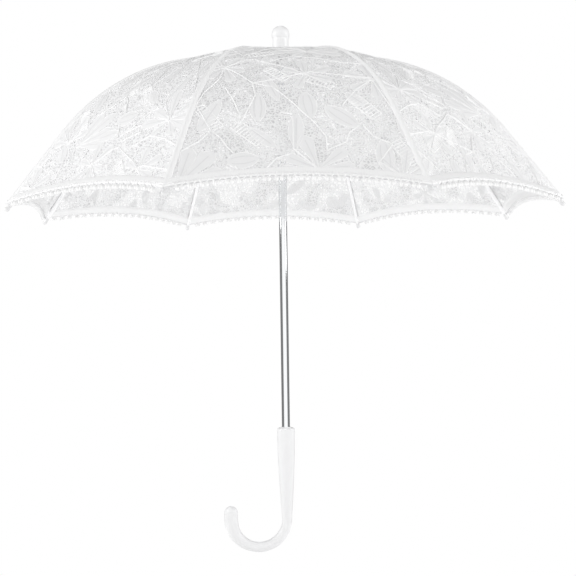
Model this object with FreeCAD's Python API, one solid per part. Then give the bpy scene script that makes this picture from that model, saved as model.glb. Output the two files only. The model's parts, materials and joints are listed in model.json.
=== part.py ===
import FreeCAD, Part
import os
from math import atan2, cos, hypot, radians, sin, sqrt, tan

# Child's lace parasol with eight ribs, open. Millimetres and degrees.
# The origin is the middle of the hand grip on the shaft's axis, and +Z points up the shaft.
# Ribs, stretchers and canopy panels are drawn with their middle plane on XZ, then turned about Z.

V = FreeCAD.Vector
UP = V(0, 0, 1)
AXIS = V(0, 0, 0)

# ribs round the shaft
RIBS = 8
PITCH = 360.0 / RIBS
FIRST_RIB = PITCH / 2
HALF_PITCH = radians(PITCH / 2)

# line of the cloth's outer face over a rib: a run, a bend and a run
CROWN_R = 6.0
CROWN_Z = 410.4
FIRST_SLOPE = radians(3.8)
FIRST_RUN = 66.5
BEND_R = 207.0
LAST_SLOPE = radians(52.4)
LAST_RUN = 90.0

# cloth panels and their trimming
CLOTH = 1.0
PANEL_GAP = 0.15
HEM_SHORT = 9.0
HEM_RISE = 12.5
TRIM_DEPTH = 9.0
TRIM_BELOW_FACE = 2.0
TRIM_ABOVE_FACE = 1.0
TRIM_GAP = 3.2

# rib: a channel that opens downwards, a tongue with an eye at the crown, a pin at the tip
RIB_TOP = 1.6
RIB_DEPTH = 3.0
RIB_WIDTH = 2.6
RIB_WALL = 0.6
TONGUE_WIDTH = 1.6
TONGUE_DEPTH = 2.4
TONGUE_LENGTH = 13.0
EYE_R = 1.5
EYE_HOLE_R = 0.6
CAP_LENGTH = 8.0
CAP_R = 1.9
CAP_BALL_R = 2.15
CAP_PIN_R = 1.2
CAP_END_WALL = 1.0

# stretcher, and the rivet that joins it to the rib
JOINT_SLOPE = radians(30.5)
JOINT_BELOW_RIB = 0.4
FORK_GAP = 0.2
EAR_THICK = 0.6
EAR_R = 1.7
EAR_LENGTH = 12.0
YOKE_START = 9.0
YOKE_END = 14.0
BAR_WIDTH = 2.4
BAR_DEPTH = 2.2
RIVET_R = 0.55
RIVET_CLEARANCE = 0.05
RIVET_HEAD_R = 1.1
RIVET_HEAD = 0.4

# shaft, crown and ferrule
SHAFT_R = 4.0
SHAFT_WALL = 0.6
SHAFT_BOTTOM = -20.0
SHAFT_TOP = 430.0
RING_R = 7.5
RING_WIRE_R = 0.45
HUB_R = 10.0
SLOT_WIDTH = 2.2
SLOT_FLOOR_R = 5.2
NOTCH_TOP = 409.0
NOTCH_HEIGHT = 7.5
WASHER_BOTTOM = 410.6
WASHER_THICK = 0.8
FERRULE_R = 8.05
FERRULE_BALL_R = 8.95
FERRULE_BALL_Z = 433.6

# runner, sliding on the shaft
RUNNER_CLEARANCE = 0.08
RUNNER_ABOVE = 5.0
RUNNER_BELOW = 4.0
SLEEVE_R = 6.2
SLEEVE_LENGTH = 22.0
COLLAR_R = 8.0
COLLAR_LENGTH = 4.0
WINDOW_TOP = 12.0
WINDOW_HEIGHT = 10.0
WINDOW_WIDTH = 2.6
FOLD_ANGLE = radians(57.0)

# sprung catches in the shaft, and the pin that stops the runner
CATCH_THICK = 1.6
CATCH_HEIGHT = 8.0
CATCH_INNER_R = 1.0
CATCH_OUTER_R = 6.0
CATCH_FLUSH_R = 3.9
CATCH_SLACK = 0.2
STOP_PIN_R = 0.8
STOP_PIN_LENGTH = 11.0
STOP_PIN_GAP = 0.4

# hooked handle, towards -X
GRIP_TOP = 40.0
GRIP_TOP_R = 8.85
GRIP_EDGE = 1.6
HOOK_R = 28.0
HOOK_Z = -50.6
HOOK_TUBE_R = 4.95
HOOK_TIP_R = 6.75
HOOK_TIP_RUN = 6.6
GRIP_STATIONS = 9
HOOK_STATIONS = 9
GRIP_WASHER_R = 4.95
GRIP_WASHER_THICK = 1.0


def along(slope):
    """The way down a line of this slope, in the XZ plane."""
    return V(cos(slope), 0, -sin(slope))


def outward(slope):
    """The way out of a line of this slope, in the XZ plane."""
    return V(sin(slope), 0, cos(slope))


FIRST_BEND = V(CROWN_R, 0, CROWN_Z) + along(FIRST_SLOPE) * FIRST_RUN
BEND_MIDDLE = FIRST_BEND - outward(FIRST_SLOPE) * BEND_R
LAST_BEND = BEND_MIDDLE + outward(LAST_SLOPE) * BEND_R
CANOPY_END = LAST_BEND + along(LAST_SLOPE) * LAST_RUN
RIB_AXIS = RIB_TOP + RIB_DEPTH / 2


def on_first_run(radius, drop):
    """The point at this radius on the line's first run, lowered by drop."""
    start = V(CROWN_R, 0, CROWN_Z) - outward(FIRST_SLOPE) * drop
    return start + along(FIRST_SLOPE) * ((radius - start.x) / cos(FIRST_SLOPE))


def on_bend(slope, drop):
    """The point of this slope on the line's bend, lowered by drop."""
    return BEND_MIDDLE + outward(slope) * (BEND_R - drop)


CROWN_PIVOT = on_first_run(RING_R, RIB_AXIS)
RIB_JOINT = on_bend(JOINT_SLOPE, RIB_AXIS + JOINT_BELOW_RIB)
ARM = hypot(RIB_JOINT.x - RING_R, CROWN_PIVOT.z - RIB_JOINT.z)
ARM_ANGLE = atan2(CROWN_PIVOT.z - RIB_JOINT.z, RIB_JOINT.x - RING_R)
RUNNER_PIVOT = V(RING_R, 0, CROWN_PIVOT.z - 2 * ARM * sin(ARM_ANGLE))
FOLDED_RUNNER_Z = CROWN_PIVOT.z - 2 * ARM * sin(ARM_ANGLE + FOLD_ANGLE)


def solid_of(shape):
    """The one solid in a shape."""
    return shape.removeSplitter().Solids[0]


def polygon_prism(points, width):
    """A prism on a polygon in the XZ plane, centred on that plane."""
    corners = [V(x, -width / 2, z) for x, z in points]
    face = Part.Face(Part.makePolygon(corners + corners[:1]))
    return face.extrude(V(0, width, 0))


def rod_across(middle, radius, length):
    """A round bar along Y, centred on the XZ plane."""
    return Part.makeCylinder(radius, length, middle - V(0, length / 2, 0), V(0, 1, 0))


def ring_wire(height):
    """The wire ring that threads the eyes round a hub."""
    return Part.makeTorus(RING_R, RING_WIRE_R, V(0, 0, height), UP)


def canopy_edges(drop, start_radius, short):
    """Edges of the canopy's line, lowered by drop, and its two ends."""
    start = on_first_run(start_radius, drop)
    bend_in = on_bend(FIRST_SLOPE, drop)
    bend_out = on_bend(LAST_SLOPE, drop)
    end = CANOPY_END - outward(LAST_SLOPE) * drop - along(LAST_SLOPE) * short
    bend = Part.Arc(bend_in, on_bend((FIRST_SLOPE + LAST_SLOPE) / 2, drop), bend_out)
    edges = [
        Part.LineSegment(start, bend_in).toShape(),
        bend.toShape(),
        Part.LineSegment(bend_out, end).toShape(),
    ]
    return edges, start, end


def strip_face(top, bottom, start_radius, short):
    """The face between the canopy's line lowered by top and by bottom."""
    upper, upper_start, upper_end = canopy_edges(top, start_radius, short)
    lower, lower_start, lower_end = canopy_edges(bottom, start_radius, short)
    sides = [
        Part.LineSegment(upper_end, lower_end).toShape(),
        Part.LineSegment(lower_start, upper_start).toShape(),
    ]
    wire = Part.Wire(Part.__sortEdges__(upper + lower + sides))
    return Part.Face(wire)


def strip(top, bottom, width, start_radius, short):
    """A bar along the canopy's line, centred on the XZ plane."""
    face = strip_face(top, bottom, start_radius, short)
    face.translate(V(0, -width / 2, 0))
    return face.extrude(V(0, width, 0))


def bar_between(start, end, width, depth):
    """A flat bar from one point to another in the XZ plane."""
    side = (end - start).normalize().cross(V(0, 1, 0)) * (depth / 2)
    corners = [start + side, end + side, end - side, start - side]
    return polygon_prism([(p.x, p.z) for p in corners], width)


def make_rib():
    """Channel with its tongue, eye, rivet hole and tip pin."""
    root = CROWN_PIVOT.x + TONGUE_LENGTH
    body = strip(RIB_TOP, RIB_TOP + RIB_DEPTH, RIB_WIDTH, root - 3, CAP_LENGTH)
    groove = strip(RIB_TOP + RIB_WALL, RIB_TOP + RIB_DEPTH + 1, RIB_WIDTH - 2 * RIB_WALL, root, CAP_LENGTH + 4)
    tongue = bar_between(CROWN_PIVOT, on_first_run(root, RIB_AXIS), TONGUE_WIDTH, TONGUE_DEPTH)
    eye = rod_across(CROWN_PIVOT, EYE_R, TONGUE_WIDTH)
    end = CANOPY_END - outward(LAST_SLOPE) * RIB_AXIS
    pin_start = end - along(LAST_SLOPE) * (CAP_LENGTH + 2)
    pin = Part.makeCylinder(CAP_PIN_R, CAP_LENGTH + 2 - CAP_END_WALL, pin_start, along(LAST_SLOPE))
    rib = body.cut(groove).fuse([tongue, eye, pin])
    rib = rib.cut(rod_across(CROWN_PIVOT, EYE_HOLE_R, 2 * RIB_WIDTH))
    rib = rib.cut(rod_across(RIB_JOINT, RIVET_R + RIVET_CLEARANCE, 2 * RIB_WIDTH))
    return solid_of(rib)


def make_rib_tip():
    """Moulded cap with a ball end, pressed on the rib's pin."""
    end = CANOPY_END - outward(LAST_SLOPE) * RIB_AXIS
    way = along(LAST_SLOPE)
    start = end - way * CAP_LENGTH
    barrel = Part.makeCylinder(CAP_R, CAP_LENGTH - CAP_BALL_R, start, way)
    ball = Part.makeSphere(CAP_BALL_R, end - way * CAP_BALL_R)
    socket = Part.makeCylinder(CAP_PIN_R, CAP_LENGTH - CAP_END_WALL, start, way)
    return solid_of(barrel.fuse(ball).cut(socket))


def make_stretcher():
    """Bar with a fork over the rib at one end and an eye on the runner's ring at the other."""
    way = (RUNNER_PIVOT - RIB_JOINT).normalize()
    inside = RIB_WIDTH + 2 * FORK_GAP
    outside = inside + 2 * EAR_THICK
    ears = bar_between(RIB_JOINT, RIB_JOINT + way * EAR_LENGTH, outside, 2 * EAR_R - 0.4)
    ears = ears.fuse(rod_across(RIB_JOINT, EAR_R, outside))
    slot = bar_between(RIB_JOINT - way * 2 * EAR_R, RIB_JOINT + way * YOKE_START, inside, 3 * EAR_R)
    yoke = bar_between(RIB_JOINT + way * YOKE_START, RIB_JOINT + way * YOKE_END, outside, BAR_DEPTH)
    bar_end = RUNNER_PIVOT - way * (TONGUE_LENGTH - 3)
    bar = bar_between(RIB_JOINT + way * YOKE_START, bar_end, BAR_WIDTH, BAR_DEPTH)
    tongue = bar_between(bar_end - way * 2, RUNNER_PIVOT, TONGUE_WIDTH, BAR_DEPTH - 0.2)
    eye = rod_across(RUNNER_PIVOT, EYE_R, TONGUE_WIDTH)
    stretcher = ears.cut(slot).fuse([yoke, bar, tongue, eye])
    stretcher = stretcher.cut(rod_across(RUNNER_PIVOT, EYE_HOLE_R, 2 * outside))
    stretcher = stretcher.cut(rod_across(RIB_JOINT, RIVET_R, 2 * outside))
    return solid_of(stretcher)


def make_rivet():
    """Rivet through the stretcher's fork and the rib."""
    grip = RIB_WIDTH + 2 * FORK_GAP + 2 * EAR_THICK
    shank = rod_across(RIB_JOINT, RIVET_R, grip + RIVET_HEAD)
    heads = rod_across(RIB_JOINT, RIVET_HEAD_R, grip + 2 * RIVET_HEAD)
    return solid_of(heads.cut(rod_across(RIB_JOINT, 2 * RIVET_HEAD_R, grip)).fuse(shank))


def wedge(gap):
    """The space between two neighbouring ribs' planes, each moved inwards by gap."""
    reach = 2 * CANOPY_END.x
    apex = gap / sin(HALF_PITCH)
    side = (reach - apex) * tan(HALF_PITCH)
    corners = [V(apex, 0, 0), V(reach, side, 0), V(reach, -side, 0)]
    face = Part.Face(Part.makePolygon(corners + corners[:1]))
    return face.extrude(V(0, 0, 2 * CROWN_Z))


def hem_frame():
    """Middle of the hem's chord, the ways down and out of the panel there, and the hem circle's
    middle and radius. The hem rises between two ribs along that circle."""
    corner = CANOPY_END - along(LAST_SLOPE) * HEM_SHORT
    slope = atan2(sin(LAST_SLOPE), cos(LAST_SLOPE) * cos(HALF_PITCH))
    chord_middle = V(corner.x * cos(HALF_PITCH), 0, corner.z)
    half_chord = corner.x * sin(HALF_PITCH)
    rise = HEM_RISE / sin(slope)
    radius = (half_chord**2 + rise**2) / (2 * rise)
    circle_middle = chord_middle + along(slope) * (radius - rise)
    return chord_middle, slope, circle_middle, radius


def make_panel():
    """One taut cloth panel from rib to rib: straight across, curved down, with its hem cut in an arc."""
    face = strip_face(0, CLOTH, CROWN_R, HEM_SHORT - 2)
    squeeze = FreeCAD.Matrix()
    squeeze.scale(cos(HALF_PITCH), 1, 1)
    face = face.transformGeometry(squeeze)
    width = 2 * CANOPY_END.x * sin(HALF_PITCH)
    face.translate(V(0, -width / 2, 0))
    panel = face.extrude(V(0, width, 0)).common(wedge(PANEL_GAP))
    slope, circle_middle, radius = hem_frame()[1:]
    out = outward(slope)
    tool = Part.makeCylinder(radius, 60, circle_middle - out * 30, out)
    return solid_of(panel.cut(tool))


def make_trim():
    """The space that the braid and its pompoms fill below one panel's hem."""
    chord_middle, slope, circle_middle, radius = hem_frame()
    out = outward(slope)
    thick = TRIM_BELOW_FACE + TRIM_ABOVE_FACE
    base = circle_middle - out * TRIM_BELOW_FACE
    outer = Part.makeCylinder(radius, thick, base, out)
    inner = Part.makeCylinder(radius - TRIM_DEPTH, thick, base, out)
    low = chord_middle + along(slope) * 2 * TRIM_DEPTH
    reach = 2 * TRIM_DEPTH + 30
    near_hem = bar_between(low, low - along(slope) * reach, 3 * CANOPY_END.x, 4 * thick)
    return solid_of(outer.cut(inner).common(near_hem).common(wedge(TRIM_GAP)))


def slotted_hub(bottom, top, pivot_z):
    """A hub with a slot at each rib and a groove for its ring wire."""
    hub = Part.makeCylinder(HUB_R, top - bottom, V(0, 0, bottom), UP)
    groove_r = RING_R - RING_WIRE_R
    groove = Part.makeCylinder(2 * HUB_R, 2 * RING_WIRE_R + 0.1, V(0, 0, pivot_z - RING_WIRE_R - 0.05), UP)
    groove = groove.cut(Part.makeCylinder(groove_r, 4, V(0, 0, pivot_z - 2), UP))
    return hub.cut(groove)


def slots(bottom, top):
    """The eight radial slots of a hub."""
    slot = Part.makeBox(HUB_R, SLOT_WIDTH, top - bottom, V(SLOT_FLOOR_R, -SLOT_WIDTH / 2, bottom))
    found = []
    for k in range(RIBS):
        copy = slot.copy()
        copy.rotate(AXIS, UP, FIRST_RIB + k * PITCH)
        found.append(copy)
    return found


def bored(shape, radius, bottom, top):
    """The shape with a hole along the shaft's axis."""
    return shape.cut(Part.makeCylinder(radius, top - bottom, V(0, 0, bottom), UP))


def make_crown_notch():
    """Hub pressed on the shaft that holds the ribs' ring."""
    bottom = NOTCH_TOP - NOTCH_HEIGHT
    hub = slotted_hub(bottom, NOTCH_TOP, CROWN_PIVOT.z).cut(slots(bottom - 1, NOTCH_TOP + 1))
    return solid_of(bored(hub, SHAFT_R, bottom - 1, NOTCH_TOP + 1))


def make_runner():
    """Sliding hub with a sleeve, a finger collar and a window for the lower catch."""
    pivot = RUNNER_PIVOT.z
    top = pivot + RUNNER_ABOVE
    bottom = pivot - RUNNER_BELOW
    hub = slotted_hub(bottom, top, pivot).cut(slots(pivot - EYE_R - 0.3, top + 1))
    sleeve_bottom = bottom - SLEEVE_LENGTH
    sleeve = Part.makeCylinder(SLEEVE_R, SLEEVE_LENGTH, V(0, 0, sleeve_bottom), UP)
    collar = Part.makeCylinder(COLLAR_R, COLLAR_LENGTH, V(0, 0, sleeve_bottom - COLLAR_LENGTH), UP)
    window_z = pivot - WINDOW_TOP - WINDOW_HEIGHT
    window = Part.makeBox(WINDOW_WIDTH, HUB_R, WINDOW_HEIGHT, V(-WINDOW_WIDTH / 2, 0, window_z))
    runner = hub.fuse([sleeve, collar]).cut(window)
    bore_r = SHAFT_R + RUNNER_CLEARANCE
    return solid_of(bored(runner, bore_r, sleeve_bottom - COLLAR_LENGTH - 1, top + 1))


RUNNER_BOTTOM = RUNNER_PIVOT.z - RUNNER_BELOW - SLEEVE_LENGTH - COLLAR_LENGTH
TOP_CATCH_Z = RUNNER_BOTTOM - CATCH_SLACK
BOTTOM_CATCH_Z = FOLDED_RUNNER_Z - WINDOW_TOP - WINDOW_HEIGHT + CATCH_SLACK


def make_catch(flat_z, rise):
    """A catch on the shaft's +Y side: flat at flat_z, sloping away in the direction of rise."""
    far = flat_z + rise * CATCH_HEIGHT
    outline = [
        V(-CATCH_THICK / 2, CATCH_INNER_R, flat_z),
        V(-CATCH_THICK / 2, CATCH_OUTER_R, flat_z),
        V(-CATCH_THICK / 2, CATCH_FLUSH_R, far),
        V(-CATCH_THICK / 2, CATCH_INNER_R, far),
    ]
    face = Part.Face(Part.makePolygon(outline + outline[:1]))
    return face.extrude(V(CATCH_THICK, 0, 0))


def make_shaft():
    """Steel tube with a slot for each catch and a hole for the stop pin."""
    tube = Part.makeCylinder(SHAFT_R, SHAFT_TOP - SHAFT_BOTTOM, V(0, 0, SHAFT_BOTTOM), UP)
    tube = bored(tube, SHAFT_R - SHAFT_WALL, SHAFT_BOTTOM - 1, SHAFT_TOP + 1)
    slot_width = CATCH_THICK + 2 * CATCH_SLACK
    slot_height = CATCH_HEIGHT + 2 * CATCH_SLACK
    for low in (TOP_CATCH_Z - CATCH_HEIGHT - CATCH_SLACK, BOTTOM_CATCH_Z - CATCH_SLACK):
        tube = tube.cut(Part.makeBox(slot_width, 2 * SHAFT_R, slot_height, V(-slot_width / 2, 0, low)))
    pin = make_stop_pin()
    return solid_of(tube.cut(pin))


def make_stop_pin():
    """Pin across the shaft, just above the open runner."""
    height = RUNNER_PIVOT.z + RUNNER_ABOVE + STOP_PIN_GAP + STOP_PIN_R
    start = V(-STOP_PIN_LENGTH / 2, 0, height)
    return Part.makeCylinder(STOP_PIN_R, STOP_PIN_LENGTH, start, V(1, 0, 0))


def make_ferrule():
    """Moulded knob over the top of the shaft."""
    bottom = WASHER_BOTTOM + WASHER_THICK
    post = Part.makeCylinder(FERRULE_R, FERRULE_BALL_Z - bottom, V(0, 0, bottom), UP)
    ball = Part.makeSphere(FERRULE_BALL_R, V(0, 0, FERRULE_BALL_Z))
    return solid_of(bored(post.fuse(ball), SHAFT_R, bottom - 1, SHAFT_TOP))


def make_disc(radius, bottom, thick):
    """A flat washer on the shaft."""
    disc = Part.makeCylinder(radius, thick, V(0, 0, bottom), UP)
    return solid_of(bored(disc, SHAFT_R, bottom - 1, bottom + thick + 1))


def grip_radius(height):
    """The grip's radius: full at the top, easing down to the hook's tube."""
    share = (height - HOOK_Z) / (GRIP_TOP - HOOK_Z)
    return HOOK_TUBE_R + (GRIP_TOP_R - HOOK_TUBE_R) * sin(share * radians(90))


def hook_radius(turn):
    """The hook's tube radius: even over the first quarter turn, growing over the second."""
    late = max(0.0, turn - radians(90))
    return HOOK_TUBE_R + (HOOK_TIP_R - HOOK_TUBE_R) * sin(late) ** 2


def make_handle():
    """Grip, hook and rounded tip, with a blind hole for the shaft."""
    shoulder = GRIP_TOP - GRIP_EDGE
    stations = [HOOK_Z + (shoulder - HOOK_Z) * i / (GRIP_STATIONS - 1) for i in range(GRIP_STATIONS)]
    side = Part.BSplineCurve()
    side.interpolate([V(grip_radius(z), 0, z) for z in stations])
    rim = grip_radius(shoulder)
    corner = V(rim - GRIP_EDGE, 0, shoulder)
    edge = Part.Arc(V(rim, 0, shoulder), corner + V(1, 0, 1) * (GRIP_EDGE / sqrt(2)), V(rim - GRIP_EDGE, 0, GRIP_TOP))
    outline = [
        Part.LineSegment(V(0, 0, HOOK_Z), V(HOOK_TUBE_R, 0, HOOK_Z)).toShape(),
        side.toShape(),
        edge.toShape(),
        Part.LineSegment(V(rim - GRIP_EDGE, 0, GRIP_TOP), V(0, 0, GRIP_TOP)).toShape(),
        Part.LineSegment(V(0, 0, GRIP_TOP), V(0, 0, HOOK_Z)).toShape(),
    ]
    grip = Part.Face(Part.Wire(outline)).revolve(AXIS, UP, 360)
    sections = []
    for i in range(HOOK_STATIONS):
        turn = radians(180) * i / (HOOK_STATIONS - 1)
        middle = V(-HOOK_R + HOOK_R * cos(turn), 0, HOOK_Z - HOOK_R * sin(turn))
        way = V(-sin(turn), 0, -cos(turn))
        sections.append(Part.Wire(Part.makeCircle(hook_radius(turn), middle, way)))
    hook = Part.makeLoft(sections, True, False)
    tip_start = V(-2 * HOOK_R, 0, HOOK_Z)
    tip = Part.makeCylinder(HOOK_TIP_R, HOOK_TIP_RUN, tip_start, UP)
    dome = Part.makeSphere(HOOK_TIP_R, tip_start + UP * HOOK_TIP_RUN)
    handle = grip.fuse([hook, tip, dome])
    return solid_of(bored(handle, SHAFT_R, SHAFT_BOTTOM, GRIP_TOP + 1))


def save(name, shape):
    """Write one named sub-part."""
    if len(shape.Solids) != 1 or not shape.isValid():
        raise ValueError(name + " is not one valid solid")
    shape.exportStep("parts/" + name + ".step")


def save_round(name, shape, first_angle):
    """Write a sub-part once at each rib, numbered from 1."""
    for k in range(RIBS):
        copy = shape.copy()
        copy.rotate(AXIS, UP, first_angle + k * PITCH)
        save(name + "_" + str(k + 1), copy)


save("shaft_tube", make_shaft())
save("crown_notch", make_crown_notch())
save("crown_ring_wire", ring_wire(CROWN_PIVOT.z))
save("crown_washer", make_disc(FERRULE_R, WASHER_BOTTOM, WASHER_THICK))
save("ferrule_knob", make_ferrule())
save("runner", make_runner())
save("runner_ring_wire", ring_wire(RUNNER_PIVOT.z))
save("top_catch", make_catch(TOP_CATCH_Z, -1))
save("bottom_catch", make_catch(BOTTOM_CATCH_Z, 1))
save("stop_pin", make_stop_pin())
save("handle", make_handle())
save("handle_washer", make_disc(GRIP_WASHER_R, GRIP_TOP, GRIP_WASHER_THICK))
save_round("rib", make_rib(), FIRST_RIB)
save_round("rib_tip", make_rib_tip(), FIRST_RIB)
save_round("stretcher", make_stretcher(), FIRST_RIB)
save_round("rivet", make_rivet(), FIRST_RIB)
save_round("canopy_panel", make_panel(), FIRST_RIB + PITCH / 2)
save_round("pompom_trim", make_trim(), FIRST_RIB + PITCH / 2)

print("crown pivot radius", round(RING_R, 3), "height", round(CROWN_PIVOT.z, 3))
print("rib joint radius", round(RIB_JOINT.x, 3), "height", round(RIB_JOINT.z, 3))
print("runner pivot height", round(RUNNER_PIVOT.z, 3), "folded", round(FOLDED_RUNNER_Z, 3))
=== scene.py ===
import json
import math

import bmesh
import bpy
import numpy as np
from mathutils import Matrix, Vector


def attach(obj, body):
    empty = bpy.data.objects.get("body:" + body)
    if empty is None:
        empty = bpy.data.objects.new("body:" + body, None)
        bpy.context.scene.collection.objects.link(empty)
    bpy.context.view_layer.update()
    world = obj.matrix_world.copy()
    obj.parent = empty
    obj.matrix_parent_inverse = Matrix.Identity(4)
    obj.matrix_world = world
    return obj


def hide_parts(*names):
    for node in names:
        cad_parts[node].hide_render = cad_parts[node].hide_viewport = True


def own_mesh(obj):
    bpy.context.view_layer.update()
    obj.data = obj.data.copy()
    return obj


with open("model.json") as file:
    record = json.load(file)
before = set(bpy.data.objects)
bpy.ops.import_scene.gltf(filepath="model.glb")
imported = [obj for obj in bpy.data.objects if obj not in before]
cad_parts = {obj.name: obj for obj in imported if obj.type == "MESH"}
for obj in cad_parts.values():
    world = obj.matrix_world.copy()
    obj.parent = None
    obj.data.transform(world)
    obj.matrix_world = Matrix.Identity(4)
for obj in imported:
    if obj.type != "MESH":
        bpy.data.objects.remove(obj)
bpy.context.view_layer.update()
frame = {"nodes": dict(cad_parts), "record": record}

# A child's lace parasol. All lengths are metres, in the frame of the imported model.

# ---- the canopy's line over a rib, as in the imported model: a run, a bend and a run
RIBS = 8
PITCH = 2 * math.pi / RIBS
FIRST_RIB = PITCH / 2
HALF_PITCH = PITCH / 2
CROWN_R = 0.0060
CROWN_Z = 0.4104
FIRST_SLOPE = math.radians(3.8)
FIRST_RUN = 0.0665
BEND_R = 0.2070
LAST_SLOPE = math.radians(52.4)
LAST_RUN = 0.0900
BEND_RUN = BEND_R * (LAST_SLOPE - FIRST_SLOPE)
RIB_RUN = FIRST_RUN + BEND_RUN + LAST_RUN
CLOTH_DROP = 0.0005

# ---- hem: how far it ends short of the rib's end, how far it rises between ribs, the ribbon's width
# and the ribbon's lap over the rib
HEM_SHORT = 0.0065
HEM_RISE = 0.0095
RIBBON = 0.0080
RIB_LAP = 0.0006
HEM_STEPS = 26
# distances out of the cloth's edge and off the cloth, over the ribbon: outer face, fold and inner face
RIBBON_PROFILE = (
    (-RIBBON, -0.0001), (-RIBBON + 0.0003, 0.0007), (-RIBBON + 0.0009, 0.0009), (-RIBBON * 0.5, 0.0010),
    (-0.0010, 0.0009), (-0.0002, 0.0007), (0.0002, 0.0), (-0.0002, -0.0006), (-0.0010, -0.0007),
    (-RIBBON * 0.5, -0.0009), (-RIBBON + 0.0006, -0.0007), (-RIBBON, 0.0001),
)

# ---- braid: a tape between two cords with a zigzag on it, a strip of painted shade below it, and loops below with a pair of tufts on each
# names in _OFF are distances off the cloth, names in _R are radii, and TUFT has half sizes
HEADER_TOP = -0.0026
HEADER_FOOT = HEADER_TOP + 0.0022
HEADER_R = 0.00045
HEADER_STEPS = 60
HEADER_OFF = 0.0014
TAPE_PROFILE = ((HEADER_TOP - 0.0005, 0.0009), (HEADER_TOP, 0.0015), (0.0, 0.0015), (0.0009, 0.0014))
TAPE_STEPS = 40
BRAID_LAP = 0.0002
SHADE_GROUND = 0.0022
SHADE_GROUND_OFF = 0.0011
ZIGZAG = (HEADER_TOP + 0.0003, HEADER_TOP + 0.0019)
ZIGZAG_R = 0.0004
ZIGZAG_OFF = 0.0016
ZIGS = 8
LOOP_DROP = 0.0032
LOOP_R = 0.0006
LOOP_SHARE = 0.36
LOOP_STEPS = 9
POMPOM_PITCH = 0.00985
POMPOM_ROOM = 0.004
ZIGZAG_ROOM = 0.3
TUFT = (0.00165, 0.0022, 0.0019)
TUFT_APART = 0.00185
TUFT_OFF = 0.0010
TUFT_OUT = HEADER_FOOT + LOOP_DROP + TUFT[1] * 0.6

# ---- net: its bands, as runs along the rib, and its grid's steps across half a panel and down a band
BANDS = (0.0, 0.055, 0.105, 0.145, 0.180, 0.215, 0.245, 0.275, 0.302, RIB_RUN)
CLOTH_TOP = 0.003
ACROSS = 12
DOWN = 8
DOWN_AT_HEM = 10
# a hole's size, thin and thick threads as shares of it, and what is added to them near the crown
CELL = 0.0031
THIN_THREAD, THICK_THREAD = 0.13, 0.34
CROWN_THREAD = 0.45
CLOSE_NET, OPEN_NET = 0.115, 0.150

# ---- painted light: a faint glow of the ribs, the ribbon and the cords, though they are no lamps. It stands for the light that comes through the cloth, and on the ribs it also lifts the shade in their channels
RIB_PAINTED_GLOW = 0.13
RIBBON_PAINTED_GLOW = 0.04
CORD_PAINTED_GLOW = 0.06


# ================================================================ materials

# sockets of a Mix node, which share their names
COLOUR_A, COLOUR_B, COLOUR_OUT = 6, 7, 2
FLOAT_A, FLOAT_B, FLOAT_OUT = 2, 3, 0

# a Wave texture of scale 1 has WAVE_RATE radians to the metre
FULL_TURN = 6.2832
WAVE_RATE = 20


def new_material(name, colour, roughness, **sockets):
    """A node material with its shader's plain values set on its own sockets."""
    material = bpy.data.materials.new(name)
    material.use_nodes = True
    shader = material.node_tree.nodes["Principled BSDF"]
    shader.inputs["Base Color"].default_value = (*colour, 1)
    shader.inputs["Roughness"].default_value = roughness
    for socket, value in sockets.items():
        shader.inputs[socket.replace("_", " ")].default_value = value
    return material, material.node_tree, shader


def add(tree, kind, **settings):
    """A shader node with its own settings."""
    node = tree.nodes.new(kind)
    for name, value in settings.items():
        setattr(node, name, value)
    return node


def math_node(tree, operation, first, second=None):
    """A Math node between two sockets or numbers."""
    node = add(tree, "ShaderNodeMath", operation=operation)
    for i, value in enumerate((first, second)):
        if value is None:
            continue
        if isinstance(value, (int, float)):
            node.inputs[i].default_value = value
        else:
            tree.links.new(value, node.inputs[i])
    return node.outputs[0]


def ramp(tree, value, low, high, out_low=0.0, out_high=1.0):
    """A clamped, smooth Map Range of a socket."""
    node = add(tree, "ShaderNodeMapRange", interpolation_type="SMOOTHSTEP")
    tree.links.new(value, node.inputs["Value"])
    node.inputs["From Min"].default_value = low
    node.inputs["From Max"].default_value = high
    node.inputs["To Min"].default_value = out_low
    node.inputs["To Max"].default_value = out_high
    return node.outputs["Result"]


def uv_scaled(tree, scale):
    """The piece's UV map, which holds flat cloth metres, times scale."""
    uv = add(tree, "ShaderNodeUVMap", uv_map="cloth")
    mapping = add(tree, "ShaderNodeMapping")
    mapping.inputs["Scale"].default_value = (scale, scale, scale)
    tree.links.new(uv.outputs["UV"], mapping.inputs["Vector"])
    return mapping.outputs["Vector"]


def object_coords(tree):
    """The piece's own coordinates, in metres."""
    return add(tree, "ShaderNodeTexCoord").outputs["Object"]


def tint(tree, shader, factor, dark, light):
    """The base colour, between two tones by factor."""
    mix = add(tree, "ShaderNodeMix", data_type="RGBA")
    tree.links.new(factor, mix.inputs["Factor"])
    mix.inputs[COLOUR_A].default_value = (*dark, 1)
    mix.inputs[COLOUR_B].default_value = (*light, 1)
    tree.links.new(mix.outputs[COLOUR_OUT], shader.inputs["Base Color"])


def bump(tree, shader, height, strength, distance):
    """A fine relief of the surface, from a height socket."""
    node = add(tree, "ShaderNodeBump")
    node.inputs["Strength"].default_value = strength
    node.inputs["Distance"].default_value = distance
    tree.links.new(height, node.inputs["Height"])
    tree.links.new(node.outputs["Normal"], shader.inputs["Normal"])


def noise(tree, vector, scale, detail=2.0, roughness=0.5):
    """A noise texture's value, 0 to 1."""
    node = add(tree, "ShaderNodeTexNoise")
    node.inputs["Scale"].default_value = scale
    node.inputs["Detail"].default_value = detail
    node.inputs["Roughness"].default_value = roughness
    tree.links.new(vector, node.inputs["Vector"])
    return node.outputs["Fac"]


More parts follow.
